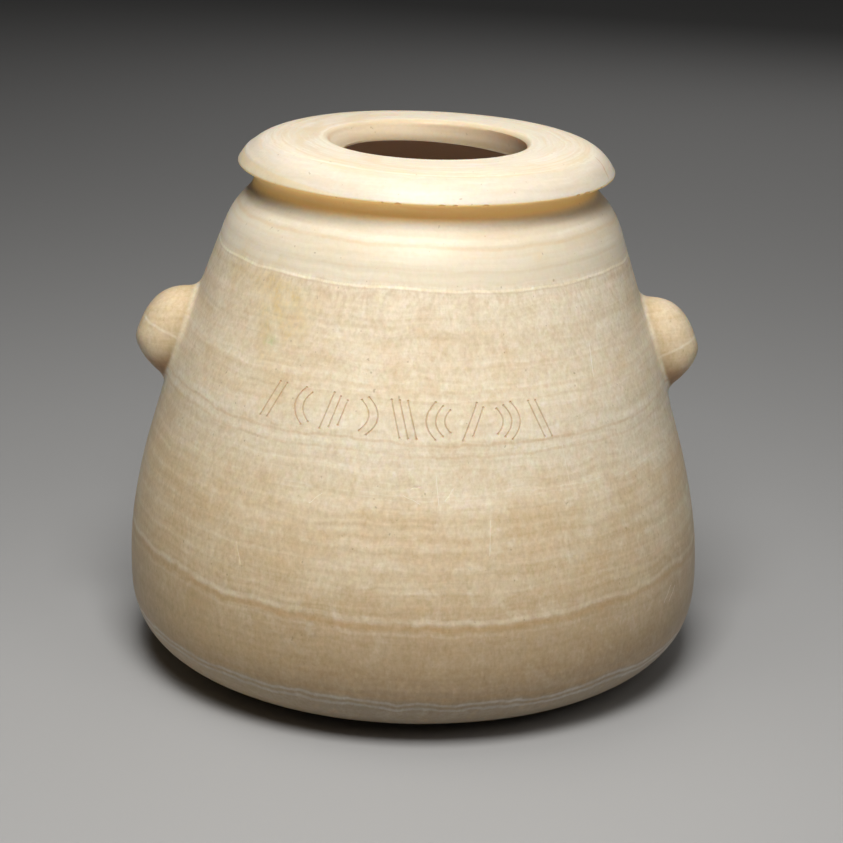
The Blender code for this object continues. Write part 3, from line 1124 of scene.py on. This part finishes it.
# Floor, lamps and surround
FLOOR_GREY = (0.40, 0.40, 0.40, 1.0)
FLOOR_ROUGHNESS = 0.8
FRONT_WHITE = (1.0, 0.985, 0.96)
SIDE_WHITE = (1.0, 0.98, 0.96)
SURROUND_WHITE = (1.0, 0.98, 0.95, 1.0)
SURROUND_STRENGTH = 0.014

# Stains: degrees from the front, height and reach in mm, strength, colour
OCHRE = (0.72, 0.52, 0.20)
GREEN = (0.38, 0.46, 0.16)
STAINS = (
    (-42.0, 170.0, 17.0, 0.45, OCHRE),
    (-34.0, 162.0, 15.0, 0.40, OCHRE),
    (-38.0, 146.0, 9.0, 0.25, OCHRE),
    (-58.0, 176.0, 12.0, 0.35, OCHRE),
    (-37.5, 152.0, 4.5, 0.45, GREEN),
    (-46.0, 52.0, 10.0, 0.35, BROWN),
    (48.0, 60.0, 12.0, 0.15, OCHRE),
    (35.0, 186.0, 6.0, 0.25, OCHRE),
)


def hollow_stations():
    """Heights with the radius midway between the outside and the hollow, from the floor to the mouth."""
    stations = [(0.012, 0.100)]
    for k in range(8):
        height = GIRTH_HEIGHT + (THROAT_HEIGHT - ROOF_DEPTH - GIRTH_HEIGHT) * k / 7
        stations.append((height, wall_radius(height) - WALL / 2))
    return stations + [(0.197, 0.066), (0.208, 0.060), (0.211, 0.0423), (0.2195, 0.0418)]


def lay_beds(graph, colour, bed, beds, share):
    """Colour with beds laid over it by ramps whose alpha is the bed's strength, neighbours in two ramps."""
    for first in (0, 1):
        apart = beds[first::2]
        for start in range(0, len(apart), BEDS_A_RAMP):
            group = apart[start : start + BEDS_A_RAMP]
            low = group[0][0] - group[0][1]
            span = group[-1][0] + group[-1][1] - low
            stops = []
            for height, half, strength, tint in group:
                for side, alpha in ((-1, 0.0), (-0.2, strength), (0.2, strength), (1, 0.0)):
                    stops.append(((height + side * half - low) / span, tint, alpha))
            settings = {"stops": stops, "easing": "EASE"}
            ramp = graph.add("ShaderNodeValToRGB", settings, {"Fac": (bed - low) / span})
            colour = graph.blend(ramp.output("Alpha") * share, colour, ramp)
    return colour


def banded_alabaster(name, overlay_share=0.0, overlay_tint=WHITE):
    """Banded calcite: level beds that rise to the sides, upright fibres, mottling and old stains, with
    painted shade and a painted glow laid into its colour.
    """
    material = bpy.data.materials.new(name)
    material.use_nodes = True
    graph = Graph(material.node_tree)
    shader = material.node_tree.nodes["Principled BSDF"]
    place = graph.add("ShaderNodeTexCoord").output("Object")
    apart = graph.add("ShaderNodeSeparateXYZ", {}, {0: place})
    x, y, z = apart.output("X"), apart.output("Y"), apart.output("Z")
    drift = graph.noise(place, (55, 55, 55), detail=1.0).output("Color")
    sockets = {0: drift, 1: (0.008, 0.008, 0.005), 2: place}
    loose = graph.add("ShaderNodeVectorMath", {"operation": "MULTIPLY_ADD"}, sockets)

    # Height of each point in the beds, which rise to the sides and waver
    climb = graph.ramp(z, 0.04, 0.19)
    rough = graph.ramp(z, 0.165, 0.10)
    sway = graph.noise(place, (22, 22, 14), detail=1.0) - 0.5
    dents = graph.noise(place, (60, 60, 20), detail=1.0) - 0.5
    ripple = graph.noise(place, (200, 200, 40), detail=1.0) - 0.5
    wander = sway * 4.0 + dents * (rough * 2.4 + 1.2) + ripple * (rough * 1.1 + 0.5)
    lift = x * (8 + climb * 14) - x * x * (230 - climb * 135)
    bed = z * 1000 + lift + wander * (graph.ramp(z, 0.209, 0.192) * 0.92 + 0.08)

    # Ground tone with painted shade towards the foot, clouds, patches and fibres
    stops = [(height / TONE_SPAN, colour) for height, colour in TONES_WITH_PAINTED_SHADE]
    colour = graph.add("ShaderNodeValToRGB", {"stops": stops}, {"Fac": bed / TONE_SPAN})

    clouds = graph.noise(loose, (36, 36, 48), detail=3.0, roughness=0.62)
    patches = graph.noise(loose, (150, 150, 110), detail=3.0, roughness=0.62)
    crystals = graph.noise(place, (640, 640, 520), detail=2.0, roughness=0.68)
    fibres = graph.noise(loose, (430, 430, 110), detail=2.0, roughness=0.6)
    threads = graph.noise(place, (1100, 1100, 330), detail=1.0, roughness=0.6)
    thin_beds = graph.noise(loose, (12, 12, 430), detail=2.0, roughness=0.6)
    broad_beds = graph.noise(loose, (8, 8, 120), detail=2.0)
    below = graph.ramp(bed, 179.0, 176.2)
    upper = below * graph.ramp(z, 0.030, 0.075)
    colour = graph.blend(graph.ramp(clouds, 0.46, 0.62) * upper * 0.38, colour, CLOUD_LIGHT)
    colour = graph.blend(graph.ramp(clouds, 0.50, 0.36) * upper * 0.34, colour, CLOUD_DARK)
    mask = graph.ramp(patches, 0.52, 0.67) * (upper * 0.20 + 0.08)
    colour = graph.blend(mask, colour, PATCH_LIGHT)
    colour = graph.blend(graph.ramp(patches, 0.46, 0.32) * below * 0.22, colour, PATCH_DARK)
    under_vein = graph.ramp(bed, 162.0, 174.5) * graph.ramp(bed, 175.6, 174.6)
    colour = graph.blend(under_vein * graph.ramp(fibres, 0.52, 0.36) * 0.16, colour, ROSE)
    # Painted shade: the left side, most strongly lower down, tinted warmer and deeper
    painted_left_shade = graph.ramp(x, -0.005, -0.100) * below * (graph.ramp(z, 0.150, 0.060) * 0.14 + 0.14)
    colour = graph.blend(painted_left_shade, colour, PAINTED_LEFT_SHADE_WARM)

    # Beds, the vein and stains
    broken = graph.ramp(broad_beds * 0.7 + patches, 0.72, 1.0)
    colour = lay_beds(graph, colour, bed, BEDS, broken * 0.4 + 0.6)
    colour = lay_beds(graph, colour, bed, FINE_BEDS, broken * 0.8 + 0.2)
    colour = lay_beds(graph, colour, bed, LIP_BEDS, broken * 0.4 + 0.6)
    vein = graph.ramp(abs(bed - VEIN_HEIGHT), VEIN_HALF, VEIN_HALF * 0.2)
    colour = graph.blend(vein * (broken * 0.3 + 0.7), colour, VEIN)
    for degrees, height, reach, strength, tint in STAINS:
        middle = wall_place(radians(degrees), height * MM)[0]
        far = graph.add("ShaderNodeVectorMath", {"operation": "DISTANCE"}, {0: place, 1: middle}, "Value")
        far = far + (patches - 0.5) * reach * MM * 1.6
        mask = graph.ramp(far, reach * MM, reach * 0.1 * MM) * (graph.ramp(crystals, 0.42, 0.60) * 0.6 + 0.4)
        colour = graph.blend(mask * strength, colour, tint)
    streaks = (crystals - 0.5) * 0.42 + (threads - 0.5) * 0.10 + (fibres - 0.5) * (0.20 + under_vein * 0.12)
    shade = 1 + (thin_beds - 0.5) * (0.22 + upper * 0.14) + (broad_beds - 0.5) * 0.24
    shade = shade + streaks * (below * 0.75 + 0.25)

    # Where the hollow, the neck and the lip begin, and the neck under the lip painted amber as its shadow
    # with light coming through
    aside = x - (axis_shift(NECK_FOOT_HEIGHT) + LIP_SHIFT)
    from_axis = (aside * aside + y * y) ** 0.5
    level = z + aside * sin(LIP_TILT)
    stops = [(height / RAMP_HEIGHT, (radius / RAMP_RADIUS,) * 3) for height, radius in hollow_stations()]
    edge = graph.add("ShaderNodeValToRGB", {"stops": stops}, {"Fac": z / RAMP_HEIGHT})
    inside = graph.ramp(from_axis - edge * RAMP_RADIUS, 0.0010, -0.0010) * graph.ramp(z, 0.0085, 0.0125)
    neck_shadow_mask = graph.ramp(z, *NECK_START) * graph.ramp(level, *NECK_END) * (1 - inside)
    # Painted shade: the neck in the lip's shadow tinted amber, as if lit through the stone
    colour = graph.blend(neck_shadow_mask * 0.92, colour, PAINTED_NECK_SHADE_AMBER)

    # Turned streaks on the lip
    on_lip = graph.ramp(level, *LIP_START)
    around = graph.vector(x * 28, y * 28, (from_axis + (dents + ripple) * 0.0022) * 640)
    sockets = {"Vector": around, "Scale": 1.0, "Detail": 2.0, "Roughness": 0.6}
    turned = graph.add("ShaderNodeTexNoise", {}, sockets)
    flat = graph.ramp(level, *LIP_FLAT)
    mask = on_lip * graph.ramp(turned, 0.50, 0.66) * (0.15 + flat * 0.40)
    colour = graph.blend(mask, colour, TURNED_DARK)
    mask = on_lip * graph.ramp(turned, 0.48, 0.34) * (0.18 + flat * 0.22)
    colour = graph.blend(mask, colour, TURNED_LIGHT)

    # Crack on the lip, and painted shade on its ground facet
    angle = x.maths("ARCTAN2", aside, 0.0 - y)
    crack = abs(angle - CRACK_ANGLE - (from_axis - CRACK_RADIUS) * CRACK_TURN + ripple * 0.05)
    past_end = graph.ramp(from_axis, CRACK_RADIUS - 0.0004, CRACK_RADIUS + 0.001)
    mask = graph.ramp(crack, 0.010, 0.002) * past_end
    colour = graph.blend(mask * on_lip * 0.65, colour, CRACK_BROWN)
    turn = (angle - FACET_MIDDLE) / FACET_HALF_TURN
    strength = 1.0 - turn * turn
    facet = graph.ramp(strength * FACET_WIDTH - (LIP_RADIUS - from_axis), -0.0001, 0.0003)
    facet = facet * graph.ramp(level, 0.2074, 0.2088) * graph.ramp(strength, 0.0, 0.25)
    # Painted shade: the steep ground facet tinted tan, as it faces away from the light
    colour = graph.blend(facet * 0.7, colour, PAINTED_FACET_SHADE)

    # Inside of the mouth and the hollow, darkened deeper in as painted shade
    throat_level = z + aside * sin(THROAT_TILT)
    colour = graph.blend(inside * 0.85, colour, MOUTH_TAN)
    # Painted shade: darker brown deeper in the throat and in the hollow
    mask = inside * graph.ramp(throat_level, *THROAT_SHADE) * 0.6
    colour = graph.blend(mask, colour, PAINTED_THROAT_SHADE)
    hollow = inside * graph.ramp(throat_level, *HOLLOW_START)
    colour = graph.blend(hollow, colour, PAINTED_HOLLOW_SHADE)

    # Lugs, with painted shade in their joints and under them, and dark specks all over
    out = abs(x)
    aside = x - axis_shift(LUG_HEIGHT)
    proud = (aside * aside + y * y) ** 0.5 - edge * RAMP_RADIUS - WALL / 2
    lug = graph.ramp(proud, 0.0004, 0.0024) * graph.ramp(z, *LUG_START) * graph.ramp(z, *LUG_END)
    # Lugs tinted tan, more strongly near their joints as painted shade
    joint_shade = graph.ramp(proud, 0.0003, 0.0018) * graph.ramp(proud, 0.0100, 0.0020)
    colour = graph.blend(lug * (joint_shade * 0.35 + 0.45), colour, LUG_TAN_AND_JOINT_SHADE)
    vein = abs(z - LUG_VEIN_HEIGHT + x * 0.022 - (out - 0.102) * 0.45 + ripple * 0.0012)
    colour = graph.blend(lug * graph.ramp(vein, 0.0010, 0.0001) * 0.35, colour, WHITE)
    # Painted shade: the lower part of each lug darkened brown where shadow falls under it
    mask = lug * graph.ramp(z + out * 0.35, 0.1710, 0.1590) * 0.85
    colour = graph.blend(mask, colour, PAINTED_UNDER_LUG_SHADE)
    specks = graph.noise(place, (520, 520, 420), detail=1.0)
    colour = graph.blend(graph.ramp(specks, 0.745, 0.80) * 0.45, colour, SPECK_BROWN)
    wash = graph.vector((shade - 1) * 0.8 + 1, shade, (shade - 1) * 1.5 + 1)
    colour = graph.blend(1.0, colour, wash, "MULTIPLY")
    if overlay_share:
        colour = graph.blend(overlay_share, colour, overlay_tint)
    material.node_tree.links.new(colour.socket, shader.inputs["Base Color"])

    # Polish, grain, light that comes through, and a painted glow in the neck and the hollow
    roughness = STONE_ROUGHNESS + (clouds - 0.5) * 0.2 + (crystals - 0.5) * 0.15
    material.node_tree.links.new(roughness.socket, shader.inputs["Roughness"])
    grain = graph.noise(place, (480, 480, 300), detail=1.0)
    bump = graph.add("ShaderNodeBump", {}, {"Height": grain, "Strength": 0.3, "Distance": GRAIN_DEPTH})
    material.node_tree.links.new(bump.socket, shader.inputs["Normal"])
    # Painted glow: the neck under the lip and the hollow shine as if lit through the stone, most at the front
    painted_glow_front = graph.ramp(y, 0.040, -0.050) * 0.75 + 0.25
    painted_glow = graph.blend(neck_shadow_mask * painted_glow_front, BLACK, PAINTED_NECK_GLOW)
    painted_glow = graph.blend(hollow, painted_glow, PAINTED_HOLLOW_GLOW)
    material.node_tree.links.new(painted_glow.socket, shader.inputs["Emission Color"])
    shader.inputs["Emission Strength"].default_value = 1.0
    shader.inputs["Subsurface Weight"].default_value = LIGHT_SHARE
    shader.inputs["Subsurface Radius"].default_value = LIGHT_SPREAD
    shader.inputs["Subsurface Scale"].default_value = LIGHT_DEPTH
    shader.inputs["IOR"].default_value = STONE_IOR
    shader.inputs["Specular IOR Level"].default_value = STONE_GLOSS
    return material


def carve_jar():
    """The whole jar, dressed and riding on the frame in place of its node."""
    stone = banded_alabaster("alabaster")
    # Cuts, chips and pits tinted brown: partly dirt in them, partly painted shade in their hollows
    cut_stone = banded_alabaster("alabaster_in_cuts", 0.42, CUT_DIRT_AND_SHADE)
    fresh_stone = banded_alabaster("alabaster_in_scratches", 0.6, PALE)
    jar = turned_form(stone)
    for side in (1, -1):
        raise_lug(jar.data, side)
    grind_rim(jar.data)
    wear(jar, stone)
    cut_scratches(jar, fresh_stone)
    cut_strokes(jar, cut_stone)
    cut_with(jar, chip_cutter(cut_stone))
    keep_materials(jar.data, [stone, cut_stone, fresh_stone])
    jar.data.shade_smooth()
    jar.data.set_sharp_from_angle(angle=SHARP_ANGLE)
    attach(jar, "root")
    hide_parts("vessel")
    return jar


def lay_floor():
    """Plain pale floor."""
    work = bmesh.new()
    bmesh.ops.create_grid(work, x_segments=1, y_segments=1, size=8.0)
    mesh = bpy.data.meshes.new("floor")
    work.to_mesh(mesh)
    work.free()
    material = bpy.data.materials.new("pale_floor")
    material.use_nodes = True
    shader = material.node_tree.nodes["Principled BSDF"]
    shader.inputs["Base Color"].default_value = FLOOR_GREY
    shader.inputs["Roughness"].default_value = FLOOR_ROUGHNESS
    mesh.materials.append(material)
    floor = new_object("floor", mesh)


def aim(thing, target):
    thing.rotation_euler = (Vector(target) - thing.location).to_track_quat("-Z", "Y").to_euler()


def soft_light(name, place, target, size, power, colour):
    """A square lamp with a soft edge to its shadow."""
    lamp = bpy.data.lights.new(name, "AREA")
    lamp.shape = "SQUARE"
    lamp.size = size
    lamp.energy = power
    lamp.color = colour
    thing = new_object(name, lamp)
    thing.location = place
    aim(thing, target)


def light_studio():
    """The main lamp over the front, weaker ones overhead, on the right and behind, and a dim surround."""
    soft_light("key", (-0.015, -0.46, 0.80), (0, 0, 0.14), 0.36, 7.1, FRONT_WHITE)
    soft_light("top", (-0.18, -0.02, 1.0), (0, 0, 0.2), 0.5, 1.6, FRONT_WHITE)
    soft_light("fill", (0.75, -0.75, 0.95), (0, 0, 0.1), 0.6, 1.4, SIDE_WHITE)
    soft_light("back", (0.35, 1.3, 0.9), (0, 0, 0.1), 1.0, 2.2, SIDE_WHITE)
    world = bpy.data.worlds.new("surround")
    world.use_nodes = True
    world.node_tree.nodes["Background"].inputs["Color"].default_value = SURROUND_WHITE
    world.node_tree.nodes["Background"].inputs["Strength"].default_value = SURROUND_STRENGTH
    bpy.context.scene.world = world
    bpy.context.scene.view_settings.view_transform = "Standard"


def place_camera():
    """Camera at the photograph's viewing angle, a little rolled as the photograph is."""
    level = Vector((cos(CAMERA_YAW), -sin(CAMERA_YAW), 0.0))
    flat = cos(CAMERA_PITCH)
    ahead = Vector((sin(CAMERA_YAW) * flat, cos(CAMERA_YAW) * flat, -sin(CAMERA_PITCH)))
    up = level.cross(ahead)
    right = level * cos(CAMERA_ROLL) + up * sin(CAMERA_ROLL)
    top = up * cos(CAMERA_ROLL) - level * sin(CAMERA_ROLL)
    data = bpy.data.cameras.new("camera")
    data.lens = CAMERA_LENS
    data.sensor_width = SENSOR
    camera = new_object("camera", data)
    turned = Matrix((right, top, -ahead)).transposed().to_4x4()
    camera.matrix_world = Matrix.Translation(CAMERA_PLACE) @ turned
    bpy.context.scene.camera = camera


place_camera()
carve_jar()
lay_floor()
light_studio()
